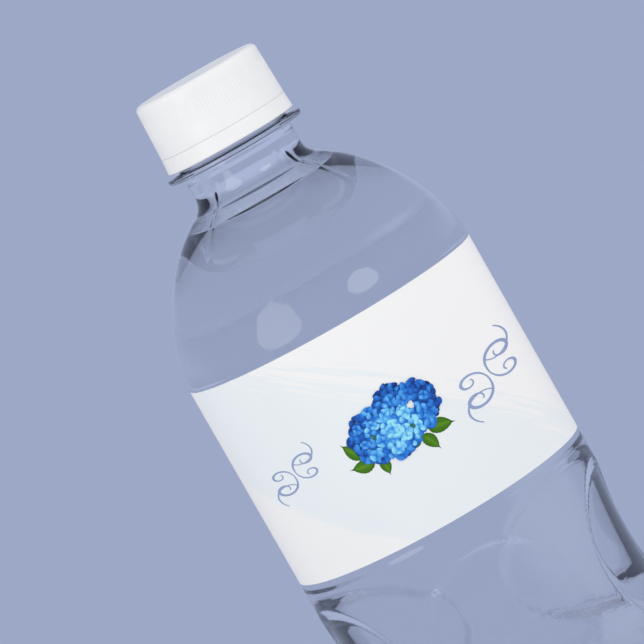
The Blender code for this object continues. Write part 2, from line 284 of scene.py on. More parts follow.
def insideOutline(extra=0.0):
    line = bodyOutline()
    inner = []
    for i, here in enumerate(line):
        before, after = line[max(i - 1, 0)], line[min(i + 1, len(line) - 1)]
        along = Vector((after[0] - before[0], after[1] - before[1])).normalized()
        if i == 0:
            along = Vector((1, 0))
        depth = wallAt(here[1]) + extra
        radius = here[0] - along.y * depth
        if here[1] > bottle["neckLow"]:
            radius = bottle["boreRadius"] - extra
        inner.append((max(radius, 0), here[1] + along.x * depth * (i == 0 or along.y < 0.999)))
    return inner


def finishOutline():
    # the ring, the bead and the mouth, up the outside and down into the bore
    b = bottle
    ringHigh = b["ringLow"] + b["ringHeight"]
    neck = b["finishRoot"] + b["beadProud"] / 2
    bead = ringHigh + b["beadHeight"]
    soft = b["ringRound"]
    line = [(b["neckRadius"] + 0.9 * mm, b["ringLow"] + 0.05 * mm)]
    line += arc((b["ringRadius"] - soft, b["ringLow"] + 0.2 * mm + soft), (soft, soft), -90, 0, 5)
    line += arc((b["ringRadius"] - soft, ringHigh - 0.15 * mm - soft), (soft, soft), 0, 90, 5)
    line += [(b["ringRadius"] - 1.2 * mm, ringHigh), (neck + 0.3 * mm, ringHigh)]
    line += [(neck, ringHigh + 0.3 * mm), (neck, bead - 0.4 * mm), (neck + 0.2 * mm, bead - 0.1 * mm)]
    crest = b["finishRoot"] + b["beadProud"]
    line += [(crest, bead + 0.1 * mm), (crest, bead + 0.5 * mm)]
    line += [(b["finishRoot"] + 0.3 * mm, bead + 1.1 * mm), (b["finishRoot"], bead + 1.3 * mm)]
    low = land - b["threadTop"] - b["threadPitch"] * b["threadTurns"] - 0.9 * mm
    line += [(b["finishRoot"], height) for height in np.arange(low, land - 1.5 * mm, 0.2 * mm)]
    line += arc((b["finishRoot"] - 0.3 * mm, land - 0.3 * mm), (0.3 * mm, 0.3 * mm), 0, 90, 5)
    line += arc((b["boreRadius"] + 0.3 * mm, land - 0.3 * mm), (0.3 * mm, 0.3 * mm), 90, 180, 5)
    for height in np.linspace(land - 2 * mm, b["ringLow"] + 0.3 * mm, 8):
        line.append((b["boreRadius"], height))
    return line


def dimplePress(angle, height):
    b = bottle
    across = bodyRadius * nearestTurn(angle, b["dimpleCount"], front)
    away = np.hypot(across, height - b["dimpleHeight"])
    floor = b["dimpleRadius"] - b["dimpleRim"]
    depth = b["dimpleRimDepth"] * ease((b["dimpleRadius"] - away) / b["dimpleRim"])
    bowl = (b["dimpleDepth"] - b["dimpleRimDepth"]) * (1 - (away / floor) ** 2)
    return -(depth + np.where(away < floor, bowl, 0))


def ribRise(angle, height):
    # thin gussets that run from the neck's root down over the shoulder and die away
    b = bottle
    across = domeRadius(height) * nearestTurn(angle, b["ribCount"], front + math.pi / b["ribCount"])
    ridge = np.maximum(1 - np.abs(across) / b["ribWidth"], 0)
    fade = ease((height - b["ribLow"]) / (domeHigh - b["ribLow"]) / b["ribFade"])
    top = ease((b["neckLow"] + 0.8 * mm - height) / (2.5 * mm))
    return b["ribProud"] * ridge * fade * top * (1 + 0.2 * ease((height - domeHigh + 1 * mm) / (2 * mm)))


def threadRise(angle, height, radius, root, depth, low, turns, halfRoot, halfCrest):
    # a one-start right-hand ridge, counted from the angle zero, that runs out at both ends
    start = np.where(angle < 0, angle + math.tau, angle)
    rise = np.zeros_like(height)
    for lap in range(math.ceil(turns)):
        turn = start / math.tau + lap
        off = np.abs(height - (low + bottle["threadPitch"] * turn))
        body = np.clip((halfRoot - off) / (halfRoot - halfCrest), 0, 1)
        ends = ease(turn * 8) * ease((turns - turn) * 8)
        rise = np.maximum(rise, body * ends)
    return depth * rise * (np.abs(radius - root) < 0.05 * mm)


def neckThread(angle, height, radius):
    b = bottle
    low = land - b["threadTop"] - b["threadPitch"] * b["threadTurns"]
    size = (b["threadDepth"], low, b["threadTurns"], *b["threadHalf"])
    return threadRise(angle, height, radius, b["finishRoot"], *size)


def liftFlutes(obj):
    b = bottle
    points = readPoints(obj)
    radius = np.hypot(points[:, 0], points[:, 1])
    angle = np.arctan2(points[:, 1], points[:, 0])
    off = np.abs(nearestTurn(angle, b["dimpleCount"], front + math.pi / b["dimpleCount"]))
    across = np.cos(np.minimum(off / b["fluteSpread"], 1) * math.pi / 2) ** 2
    inner = ease((radius - b["footInner"] * 0.35) / (b["footInner"] * 0.6))
    outer = ease((bodyRadius - b["wall"] - radius) / (bodyRadius - b["footOuter"]))
    low = points[:, 2] < b["heelHeight"]
    points[low, 2] += (b["fluteLift"] * across * inner * outer)[low]
    writePoints(obj, points)


def pressBody(obj):
    def press(angle, height, radius):
        side = (height > bottle["heelHeight"]) & (height < labelLow.z)
        shoulder = (height > bottle["ribLow"]) & (height < bottle["neckLow"] + 1 * mm)
        outer = radius > domeRadius(height) - 0.2 * mm
        move = np.where(side, dimplePress(angle, height), 0)
        return move + np.where(shoulder & outer, ribRise(angle, height), 0)

    pushOut(obj, press)
    liftFlutes(obj)


def makeBottle(look):
    outline = bodyOutline() + finishOutline() + insideOutline()[::-1]
    obj = spinOutline("bottleShell", outline, bottle["columns"])
    pressBody(obj)
    pushOut(obj, neckThread)
    smoothShade(obj, 50)
    obj.data.materials.append(look)
    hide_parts("bottle")
    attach(obj, "bottle")
    return obj


# the fill reaches a hair into the wall, so that no film of air shows between them
water = {"gap": -0.08 * mm, "meniscus": 1.7 * mm, "decay": 1.25 * mm, "reach": 6 * mm, "rings": 14}


def makeWater(look):
    # the fill follows the wall up to the rim of its meniscus and falls back to the level line
    rimHeight = waterLevel + water["meniscus"]
    below = []
    for radius, height in insideOutline(water["gap"]):
        if height > rimHeight:
            last = below[-1]
            share = (rimHeight - last[1]) / (height - last[1])
            below.append((last[0] + (radius - last[0]) * share, rimHeight))
            break
        below.append((radius, height))
    rim = below[-1][0]
    surface = []
    end = math.exp(-water["reach"] / water["decay"])
    for share in np.linspace(0, 1, water["rings"])[1:]:
        away = water["reach"] * share
        rise = water["meniscus"] * (math.exp(-away / water["decay"]) - end * share)
        surface.append((rim - away, waterLevel + rise))
    surface.append((0, waterLevel))
    obj = spinOutline("waterFill", below + surface, bottle["columns"])
    pressBody(obj)
    smoothShade(obj, 50)
    obj.data.materials.append(look)
    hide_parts("water")
    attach(obj, "bottle")
    return obj


cap = {
    "knurls": 120,
    "knurlDepth": 0.10 * mm,
    "knurlTop": 3.0 * mm,
    "knurlBottom": 9.6 * mm,
    "round": 1.3 * mm,
    "wall": 0.95 * mm,
    "plate": 0.95 * mm,
    "flare": 0.35 * mm,
    "slit": 0.03 * mm,
    "edge": 0.07 * mm,
    "threadTurns": 1.25,
    "threadGap": 0.3 * mm,
    "threadHalf": (0.6 * mm, 0.25 * mm),
}
band = {
    "wall": 1.15 * mm,
    "lip": 13.1 * mm,
    "lipHeight": 0.9 * mm,
    "bridges": 16,
    "bridge": (0.5 * mm, 0.7 * mm, 0.14 * mm),
    "gap": 0.2 * mm,  # the band ends this far below the node's top, where the bridges are
}


def makeCap(look):
    top, skirt = capHigh.z, bandHigh.z - band["gap"] + cap["slit"]
    outer = capHigh.x
    upper = outer - cap["flare"]
    bore = upper - cap["wall"]
    under = top - cap["plate"]
    outline = [(0, top - 0.12 * mm), (9 * mm, top - 0.1 * mm)]
    outline += [(11 * mm, top - 0.05 * mm), (12.2 * mm, top)]
    outline += arc((upper - cap["round"], top - cap["round"]), (cap["round"], cap["round"]), 90, 0, 10)
    for height in np.linspace(top - 2.4 * mm, skirt + 0.35 * mm, 24):
        share = (top - cap["round"] - height) / (top - cap["round"] - skirt)
        outline.append((upper + cap["flare"] * share, height))
    outline += arc((outer - cap["edge"], skirt + cap["edge"]), (cap["edge"], cap["edge"]), 0, -90, 4)
    outline += [(bore + 0.2 * mm, skirt), (bore, skirt + 0.2 * mm)]
    low = land - bottle["threadTop"] - bottle["threadPitch"] * (bottle["threadTurns"] + 0.5)
    outline += [(bore, height) for height in np.arange(skirt + 0.5 * mm, under - 1 * mm, 0.25 * mm)]
    outline += [(bore, under), (0, under)]
    obj = spinOutline("capShell", outline, cap["knurls"] * 4)

    def knurl(angle, height, radius):
        wave = 0.5 - 0.5 * np.cos(angle * cap["knurls"])
        below = ease((top - cap["knurlTop"] - height) / (0.6 * mm))
        above = ease((height - top + cap["knurlBottom"]) / (1.5 * mm))
        return -cap["knurlDepth"] * wave * below * above * (radius > bore + 0.5 * mm)

    def thread(angle, height, radius):
        depth = -(bore - bottle["finishRoot"] - cap["threadGap"])
        size = (depth, low, cap["threadTurns"], *cap["threadHalf"])
        return threadRise(angle, height, radius, bore, *size)

    pushOut(obj, knurl)
    pushOut(obj, thread)
    smoothShade(obj, 42)
    obj.data.materials.append(look)
    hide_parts("cap")
    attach(obj, "cap")
    return obj


def makeBand(look):
    low, high = bandLow.z, bandHigh.z - band["gap"]
    outerLow, outerHigh = bandHigh.x, capHigh.x
    inner = outerLow - band["wall"]
    outline = [(inner, low + band["lipHeight"] * 1.6), (band["lip"], low + band["lipHeight"])]
    outline += [(band["lip"], low + 0.1 * mm), (band["lip"] + 0.1 * mm, low)]
    outline += [(outerLow - 0.15 * mm, low), (outerLow, low + 0.15 * mm)]
    for share in np.linspace(0.15, 0.93, 8):
        outline.append((outerLow + (outerHigh - outerLow) * share, low + (high - low) * share))
    outline += [(outerHigh, high - 0.05 * mm), (outerHigh - 0.05 * mm, high)]
    outline += [(inner + 0.1 * mm, high), (inner, high - 0.1 * mm)]
    obj = spinOutline("tamperBand", outline, 240, closed=True)
    bridges = []
    for i in range(band["bridges"]):
        bpy.ops.mesh.primitive_cube_add(size=1)
        bridge = bpy.context.object
        bridge.scale = band["bridge"]
        turn = math.tau * (i + 0.5) / band["bridges"]
        reach = (inner + outerHigh) / 2
        bridge.location = (reach * math.cos(turn), reach * math.sin(turn), high)
        bridge.rotation_euler.z = turn
        settle(bridge)
        bridges.append(bridge)
    obj = joinPieces([obj, *bridges], "tamperBand")
    smoothShade(obj, 35)
    obj.data.materials.append(look)
    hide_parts("tamper_band")
    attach(obj, "bottle")
    return obj


def makeLiner(look):
    low, high, edge = linerLow.z, linerHigh.z, linerHigh.x
    outline = [(0, low), (9.8 * mm, low), (10.2 * mm, low + 0.15 * mm), (11.8 * mm, low + 0.15 * mm)]
    outline += [(edge - 0.2 * mm, low), (edge, low + 0.15 * mm)]
    outline += [(edge, high - 0.15 * mm), (edge - 0.15 * mm, high), (0, high)]
    obj = spinOutline("capLiner", outline, 120)
    smoothShade(obj, 35)
    obj.data.materials.append(look)
    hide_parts("cap_liner")
    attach(obj, "liner")
    return obj


label = {
    "thickness": labelFilmThickness,
    "columns": 246,
    "overlap": math.radians(9),
    "artTurn": math.radians(-2.2),  # the print is centred a little to the left of the front dimple
    "backGap": 0.12 * mm,
}
labelRadius = labelHigh.x


def makeLabel(look, backGlowLook):
    # a flat strip at its real length, rolled round the panel
    length = labelRadius * (math.tau + label["overlap"])
    height = labelHigh.z - labelLow.z
    deselectAll()
    bpy.ops.mesh.primitive_grid_add(x_subdivisions=label["columns"], y_subdivisions=6, size=1)
    obj = bpy.context.object
    obj.name = "labelWrap"
    obj.scale = (length, height, 1)
    settle(obj)
    points = readPoints(obj)
    run = points[:, 0] / labelRadius
    over = ease((run - math.pi) / label["overlap"] * 2 + 1)
    radius = labelRadius - label["thickness"] + over * label["backGap"]
    angle = front + label["artTurn"] + run
    rise = (labelLow.z + labelHigh.z) / 2 + points[:, 1]
    writePoints(obj, np.column_stack((radius * np.cos(angle), radius * np.sin(angle), rise)))
    obj.data.materials.append(look)
    obj.data.materials.append(backGlowLook)
    solid = obj.modifiers.new("thickness", "SOLIDIFY")
    solid.thickness = label["thickness"]
    solid.offset = 1
    solid.material_offset = 1
    applyAll(obj)
    smoothShade(obj, 35)
    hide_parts("label")
    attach(obj, "bottle")
    return obj


def wrapPrint(obj, lift):
    # x is the run round the label, y the height over its middle, z how proud the ink stands
    points = readPoints(obj)
    angle = front + label["artTurn"] + points[:, 0] / labelRadius
    radius = labelRadius + lift + points[:, 2]
    rise = (labelLow.z + labelHigh.z) / 2 + points[:, 1]
    writePoints(obj, np.column_stack((radius * np.cos(angle), radius * np.sin(angle), rise)))
    obj.data.update()


flower = {
    "centre": (0.5 * mm, 0.2 * mm),
    # x, y, half width and half height of each head, for the middles of its florets
    "heads": (
        (-4.8 * mm, -0.4 * mm, 4.7 * mm, 5.0 * mm),
        (4.9 * mm, 1.0 * mm, 5.0 * mm, 4.9 * mm),
        (-0.6 * mm, -1.0 * mm, 4.4 * mm, 5.4 * mm),
        (1.8 * mm, 4.2 * mm, 3.1 * mm, 3.2 * mm),
    ),
    "petal": 1.5 * mm,
    # spacing, how far past the heads, petal size, tone, spread of tones, of petals, petals to a floret
    "layers": (
        (1.35 * mm, 0.0 * mm, 1.05, -0.30, 0.12, 0.08, 4),
        (1.75 * mm, 0.1 * mm, 0.98, -0.12, 0.20, 0.16, 4),
        (1.15 * mm, 0.3 * mm, 0.86, 0.05, 0.23, 0.16, 1),
        (3.10 * mm, -0.8 * mm, 0.86, 0.12, 0.18, 0.14, 4),
    ),
    "tries": 3200,
    "gaps": ((4.9 * mm, 1.9 * mm, 0.36 * mm), (-4.6 * mm, 6.3 * mm, 0.45 * mm)),
    "eyes": ((-5.2 * mm, -0.5 * mm), (2.9 * mm, -2.3 * mm)),  # where green shows between the petals
    "eye": 0.55 * mm,
    "glow": (0.2 * mm, -1.4 * mm, 9.2 * mm, 7.4 * mm),  # the light middle of the cluster
    "ink": 0.01 * mm,
    "step": 0.00045 * mm,
    "seed": 11,
}
inks = {
    "navy": (0.003, 0.028, 0.140),
    "royal": (0.006, 0.072, 0.400),
    "blue": (0.016, 0.185, 0.680),
    "sky": (0.085, 0.400, 0.860),
    "cyan": (0.300, 0.760, 0.930),
    "leaf": (0.050, 0.190, 0.002),
    "leafLight": (0.130, 0.310, 0.015),
    "leafDark": (0.006, 0.030, 0.003),
    "scroll": (0.290, 0.365, 0.590),
}


def mix(one, two, share):
    return tuple(a + (b - a) * share for a, b in zip(one, two))


def petalMesh():
    # one broad petal along +x, with rings that carry its shading from the rim to the middle
    deselectAll()
    bpy.ops.mesh.primitive_circle_add(vertices=14, radius=1, fill_type="NGON")
    obj = bpy.context.object
    bpy.ops.object.mode_set(mode="EDIT")
    bpy.ops.mesh.select_all(action="SELECT")
    bpy.ops.mesh.inset(thickness=0.24)
    bpy.ops.mesh.inset(thickness=0.34)
    bpy.ops.mesh.poke()
    bpy.ops.object.mode_set(mode="OBJECT")
    points = readPoints(obj)
    rim = np.hypot(points[:, 0], points[:, 1])
    points[:, 1] *= 0.36 + 0.30 * ease((points[:, 0] + 1) / 1.4)
    points[:, 0] = points[:, 0] * 0.48 + 0.52
    writePoints(obj, points)
    ring = obj.data.attributes.new("ring", "FLOAT", "POINT")
    ring.data.foreach_set("value", 1 - np.minimum(rim, 1))
    mesh = obj.data
    bpy.data.objects.remove(obj)
    return mesh


def addInk(mesh, name, colours):
    layer = mesh.color_attributes.new(name, "FLOAT_COLOR", "POINT")
    layer.data.foreach_set("color", np.asarray(colours, float).ravel())


def clusterTone(x, y):
    # light in the middle of the cluster, deep blue towards its left, right and upper right edges
    glow = flower["glow"]
    reach = math.hypot((x - glow[0]) / glow[2], (y - glow[1]) / glow[3])
    side = 0.10 * float(ease((x - 6 * mm) / (4 * mm)))
    return 0.86 - 0.44 * min(reach, 1.3) ** 1.3 - side


def toneColour(tone):
    steps = (inks["navy"], inks["royal"], inks["blue"], inks["sky"], inks["cyan"])
    place = min(max(tone, 0), 1) * (len(steps) - 1)
    low = min(int(place), len(steps) - 2)
    return mix(steps[low], steps[low + 1], place - low)


def scatter(rng, spacing, edge):
    # places inside the heads, none too close to another or over a gap
    centres = []
    for _ in range(flower["tries"]):
        head = rng.choice(flower["heads"])
        turn, reach = rng.uniform(0, math.tau), math.sqrt(rng.random())
        x = head[0] + (head[2] + edge) * reach * math.cos(turn)
        y = head[1] + (head[3] + edge) * reach * math.sin(turn)
        free = all(math.hypot(x - a, y - b) > spacing for a, b in centres)
        clear = all(math.hypot(x - a, y - b) > size + 0.35 * mm for a, b, size in flower["gaps"])
        if free and clear:
            centres.append((x, y))
    return centres


def missesGaps(flat, x, y):
    for a, b, size in flower["gaps"]:
        if np.min(np.hypot(flat[:, 0] + x - a, flat[:, 1] + y - b)) < size:
            return False
    return True


def makeFlower(look):
    rng = random.Random(flower["seed"])
    petal = petalMesh()
    ring = np.empty(len(petal.vertices))
    petal.attributes["ring"].data.foreach_get("value", ring)
    shape = np.empty(len(petal.vertices) * 3)
    petal.vertices.foreach_get("co", shape)
    shape = shape.reshape(-1, 3)
    # each petal is darker at its rim and its base, and lighter at its tip
    petalShade = 0.13 * ease(ring / 0.5) - 0.09 + 0.36 * (shape[:, 0] / shape[:, 0].max() - 0.55)
    made = []
    count = 0
    for spacing, edge, grow, offset, spread, vary, petals in flower["layers"]:
        for x, y in scatter(rng, spacing, edge):
            tone = clusterTone(x, y) + offset + rng.uniform(-spread, spread)
            turn = rng.uniform(0, math.tau)
            size = flower["petal"] * grow * rng.uniform(0.85, 1.15)
            squeeze = rng.uniform(0.70, 1.0)
            lean = rng.uniform(0, math.pi)
            axis = np.array([math.cos(lean), math.sin(lean)])
            for p in range(petals):
                spin = turn + p * math.tau / petals + rng.uniform(-0.25, 0.25)
                long = size * rng.uniform(0.82, 1.12)
                wide = long * rng.uniform(0.82, 1.12)
                local = shape[:, :2] * (long, wide)
                if petals == 1:
                    local[:, 0] -= long / 2
                along = np.array([math.cos(spin), math.sin(spin)])
                flat = local @ np.array([along, (-along[1], along[0])])
                flat = flat - np.outer(flat @ axis, axis) * (1 - squeeze)
                own = tone + rng.uniform(-vary, vary)
                if not missesGaps(flat, x, y):
                    continue
                count += 1
                mesh = petal.copy()
                px = flat[:, 0] + x + flower["centre"][0]
                py = flat[:, 1] + y + flower["centre"][1]
                where = np.column_stack((px, py, np.full(len(flat), count * flower["step"])))
                mesh.vertices.foreach_set("co", where.ravel())
                lit = (flat[:, 1] - flat[:, 0] * 0.4) / size
                shade = own + petalShade + 0.12 * (lit - np.mean(lit))
                addInk(mesh, "ink", [(*toneColour(value), 1) for value in shade])
                piece = bpy.data.objects.new("petal", mesh)
                bpy.context.scene.collection.objects.link(piece)
                made.append(piece)
    for x, y in flower["eyes"]:
        deselectAll()
        count += 1
        place = (x + flower["centre"][0], y + flower["centre"][1], count * flower["step"])
        size = flower["eye"]
        bpy.ops.mesh.primitive_circle_add(vertices=9, radius=size, fill_type="TRIFAN", location=place)
        eye = bpy.context.object
        eye.scale = (1.2, 0.8, 1)
        eye.rotation_euler.z = rng.uniform(0, math.pi)
        settle(eye)
        rimInk = (*mix(inks["leaf"], inks["royal"], 0.35), 1)
        middleInk = (*mix(inks["leafLight"], inks["leaf"], 0.4), 1)
        addInk(eye.data, "ink", [rimInk] * (len(eye.data.vertices) - 1) + [middleInk])
        made.append(eye)
    print("petals", count)
    obj = joinPieces(made, "flowerPrint")
    finishPrint(obj, look, 0.03 * mm)
    bpy.data.meshes.remove(petal)
    return obj


def finishPrint(obj, look, lift):
    solid = obj.modifiers.new("ink", "SOLIDIFY")
    solid.thickness = flower["ink"]
    solid.offset = -1
    applyAll(obj)
    wrapPrint(obj, lift)
    obj.data.materials.clear()
    obj.data.materials.append(look)
    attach(obj, "bottle")


leaf = {
    "long": 17,
    "across": 9,
    # base x, base y, tip x, tip y and width, from the middle of the cluster
    "places": (
        (-8.9, -3.3, -12.4, 1.4, 2.9),
        (-7.5, -5.0, -13.2, -4.3, 3.0),
        (-6.2, -5.2, -6.0, -9.1, 2.3),
        (3.0, -4.6, 0.4, -6.9, 1.8),
        (3.6, -5.0, 5.8, -9.5, 2.7),
        (5.4, -4.6, 11.4, -6.1, 3.2),
    ),
}


def makeLeaves(look):
    made = []
    for x, y, tipX, tipY, width in leaf["places"]:
        deselectAll()
        long, wide = leaf["long"], leaf["across"]
        bpy.ops.mesh.primitive_grid_add(x_subdivisions=long, y_subdivisions=wide, size=1)
        obj = bpy.context.object
        points = readPoints(obj)
        along, across = points[:, 0] + 0.5, points[:, 1] * 2
        length = math.hypot(tipX - x, tipY - y)
        blade = np.sin(math.pi * np.minimum(along / 0.86, 1) ** 0.85) ** 0.7
        point = 0.10 * ease((along - 0.72) / 0.12) * np.clip((1 - along) / 0.16, 0, 1)
        half = np.maximum(blade, point) * 0.5 * width
        serrate = 1 + 0.06 * np.abs(across) ** 3 * np.cos(along * math.tau * 8)
        px = along * length
        py = across * half * serrate + 0.22 * np.sin(math.pi * along)
        turn = math.atan2(tipY - y, tipX - x)
        wx = x + px * math.cos(turn) - py * math.sin(turn) + flower["centre"][0] / mm
        wy = y + px * math.sin(turn) + py * math.cos(turn) + flower["centre"][1] / mm
        writePoints(obj, np.column_stack((wx, wy, np.zeros(len(px)))) * mm)
        vein = np.cos((along - 0.3 * np.abs(across)) * math.tau * 8)
        tone = 0.55 + 0.12 * vein - 0.75 * ease((along - 0.74) / 0.2) - 0.22 * np.abs(across) ** 3
        tone += 0.25 * (np.abs(across) < 0.15) - 0.2 * ease((0.25 - along) / 0.25)
        colours = []
        for value in tone:
            if value > 0.5:
                colours.append((*mix(inks["leaf"], inks["leafLight"], min((value - 0.5) / 0.5, 1)), 1))
            else:
                colours.append((*mix(inks["leafDark"], inks["leaf"], max(value / 0.5, 0)), 1))
        addInk(obj.data, "ink", colours)
        made.append(obj)
    obj = joinPieces(made, "leafPrint")
    finishPrint(obj, look, 0.018 * mm)
    return obj


scroll = {
    "steps": 60,
    "width": 0.52,
    "hair": 0.20,
    # middle x and y, scale across and up, turn
    "left": {"centre": (-22.7, 0.0), "size": (1.20, 0.82), "turn": 12},
    "right": {"centre": (22.4, -1.7), "size": (1.70, 1.08), "turn": 14},
    # x, y, heading, length, first and last bend, weight
    "strokes": (
        (0.3, 0.0, 86, 11.5, -0.06, -1.15, 1.0),
        (-0.3, 0.0, 266, 11.5, -0.06, -1.15, 1.0),
        (-0.3, 0.0, 94, 8.5, 0.10, 1.5, 0.7),
        (0.3, 0.0, 274, 8.5, 0.10, 1.5, 0.7),
        (-1.0, -2.8, 100, 9.0, 0.55, 0.22, 0.3),
        (1.0, 2.8, 280, 9.0, 0.55, 0.22, 0.3),
    ),
}


def strokePath(x, y, heading, length, first, last):
    # a line whose bend grows evenly along it, so that it ends in a curl
    steps = scroll["steps"]
    path = [(x, y, math.radians(heading))]
    for i in range(steps):
        share = (i + 0.5) / steps
        turn = path[-1][2] + (first + (last - first) * share) * length / steps
        x += math.cos(turn) * length / steps
        y += math.sin(turn) * length / steps
        path.append((x, y, turn))
    return path


def makeScroll(name, place, look):
    made = []
    for x, y, heading, length, first, last, weight in scroll["strokes"]:
        path = strokePath(x, y, heading, length, first, last)
        deselectAll()
        bpy.ops.mesh.primitive_grid_add(x_subdivisions=scroll["steps"], y_subdivisions=1, size=1)
        obj = bpy.context.object
        points = readPoints(obj)
        share = points[:, 0] + 0.5
        index = np.rint(share * scroll["steps"]).astype(int)
        line = np.array(path)[index]
        middle = np.sin(math.pi * share) ** 1.5
        swell = scroll["hair"] + (scroll["width"] - scroll["hair"]) * weight * middle
        side = np.sign(points[:, 1]) * swell / 2
        px = line[:, 0] - np.sin(line[:, 2]) * side
        py = line[:, 1] + np.cos(line[:, 2]) * side
        turn = math.radians(place["turn"])
        wx = place["centre"][0] + (px * math.cos(turn) - py * math.sin(turn)) * place["size"][0]
        wy = place["centre"][1] + (px * math.sin(turn) + py * math.cos(turn)) * place["size"][1]
        # the artwork is spread round the bottle so that it looks even from the front
        run = labelRadius / mm * np.arcsin(np.clip(wx / (labelRadius / mm), -0.97, 0.97))
        writePoints(obj, np.column_stack((run, wy, np.zeros(len(px)))) * mm)
        addInk(obj.data, "ink", [(*inks["scroll"], 1)] * len(points))
        made.append(obj)
    obj = joinPieces(made, name)
    finishPrint(obj, look, 0.02 * mm)
    return obj


def newMaterial(name):
    made = bpy.data.materials.new(name)
    made.use_nodes = True
    shader = made.node_tree.nodes["Principled BSDF"]
    return made, made.node_tree.nodes, made.node_tree.links, shader


def feed(tree, socket, value):
    # a colour or a number is set on the socket, and an output is linked to it
    if isinstance(value, tuple):
        socket.default_value = (*value, 1)
    elif isinstance(value, (int, float)):
        socket.default_value = value
    else:
        tree.links.new(value, socket)


def mathNode(tree, kind, one, two):
    node = tree.nodes.new("ShaderNodeMath")
    node.operation = kind
    feed(tree, node.inputs[0], one)
    feed(tree, node.inputs[1], two)
    return node.outputs[0]


def rampNode(tree, value, low, high, start=0, end=1):
    node = tree.nodes.new("ShaderNodeMapRange")
    node.interpolation_type = "SMOOTHSTEP"
    for socket, number in (("From Min", low), ("From Max", high), ("To Min", start), ("To Max", end)):
        node.inputs[socket].default_value = number
    tree.links.new(value, node.inputs["Value"])
    return node.outputs["Result"]


def blendNode(tree, share, one, two, kind="MIX"):
    node = tree.nodes.new("ShaderNodeMix")
    node.data_type = "RGBA"
    node.blend_type = kind
    feed(tree, node.inputs["Factor"], share)
    feed(tree, node.inputs["A"], one)
    feed(tree, node.inputs["B"], two)
    return node.outputs["Result"]


def grainGroup():
    # fine uneven moulding: a tone and a height from two sizes of noise
    group = bpy.data.node_groups.new("fineGrain", "ShaderNodeTree")
    group.interface.new_socket("Scale", in_out="INPUT", socket_type="NodeSocketFloat")
    group.interface.new_socket("Tone", in_out="OUTPUT", socket_type="NodeSocketFloat")
    group.interface.new_socket("Height", in_out="OUTPUT", socket_type="NodeSocketFloat")
    nodes, links = group.nodes, group.links
    start = nodes.new("NodeGroupInput")
    end = nodes.new("NodeGroupOutput")
    place = nodes.new("ShaderNodeTexCoord")
    broad = nodes.new("ShaderNodeTexNoise")
    fine = nodes.new("ShaderNodeTexNoise")
    finer = nodes.new("ShaderNodeMath")
    blend = nodes.new("ShaderNodeMath")
    finer.operation = "MULTIPLY"
    finer.inputs[1].default_value = 9
    blend.operation = "MULTIPLY_ADD"
    blend.inputs[1].default_value = 0.35
    links.new(place.outputs["Object"], broad.inputs["Vector"])
    links.new(place.outputs["Object"], fine.inputs["Vector"])
    links.new(start.outputs["Scale"], broad.inputs["Scale"])
    links.new(start.outputs["Scale"], finer.inputs[0])
    links.new(finer.outputs[0], fine.inputs["Scale"])
    links.new(fine.outputs["Fac"], blend.inputs[0])
    links.new(broad.outputs["Fac"], blend.inputs[2])
    links.new(broad.outputs["Fac"], end.inputs["Tone"])
    links.new(blend.outputs[0], end.inputs["Height"])
    return group


def addGrain(nodes, links, shader, group, scale, height, tones=None, rough=None):
    grain = nodes.new("ShaderNodeGroup")
    grain.node_tree = group
    grain.inputs["Scale"].default_value = scale
    bump = nodes.new("ShaderNodeBump")
    bump.inputs["Strength"].default_value = 1
    bump.inputs["Distance"].default_value = height
    links.new(grain.outputs["Height"], bump.inputs["Height"])
    links.new(bump.outputs["Normal"], shader.inputs["Normal"])
    if tones:
        ramp = nodes.new("ShaderNodeValToRGB")
        ramp.color_ramp.elements[0].position, ramp.color_ramp.elements[1].position = 0.3, 0.7
        ramp.color_ramp.elements[0].color = (*tones[0], 1)
        ramp.color_ramp.elements[1].color = (*tones[1], 1)
        links.new(grain.outputs["Tone"], ramp.inputs["Fac"])
        links.new(ramp.outputs["Color"], shader.inputs["Base Color"])
    if rough:
        spread = nodes.new("ShaderNodeMapRange")
        spread.inputs["To Min"].default_value, spread.inputs["To Max"].default_value = rough
        links.new(grain.outputs["Tone"], spread.inputs["Value"])
        links.new(spread.outputs["Result"], shader.inputs["Roughness"])
    return grain


def clearPlastic(grain):
    made, nodes, links, shader = newMaterial("clearPlastic")
    shader.inputs["Transmission Weight"].default_value = 1
    shader.inputs["IOR"].default_value = 1.57
    shader.inputs["Base Color"].default_value = (0.968, 0.970, 0.974, 1)
    addGrain(nodes, links, shader, grain, 55, 0.004 * mm, rough=(0.0, 0.02))
    return made


def waterLook():
    made, _, _, shader = newMaterial("stillWater")
    shader.inputs["Transmission Weight"].default_value = 1
    shader.inputs["IOR"].default_value = 1.333
    shader.inputs["Roughness"].default_value = 0
    shader.inputs["Base Color"].default_value = (1, 1, 1, 1)
    return made


def whitePlastic(grain):
    made, nodes, links, shader = newMaterial("whitePlastic")
    tones = ((0.850, 0.853, 0.857), (0.874, 0.877, 0.880))
    addGrain(nodes, links, shader, grain, 160, 0.006 * mm, tones, (0.28, 0.40))
    return made


def linerFoam(grain):
    made, nodes, links, shader = newMaterial("linerFoam")
    tones = ((0.74, 0.76, 0.78), (0.82, 0.83, 0.84))
    addGrain(nodes, links, shader, grain, 900, 0.02 * mm, tones, (0.55, 0.7))
    return made


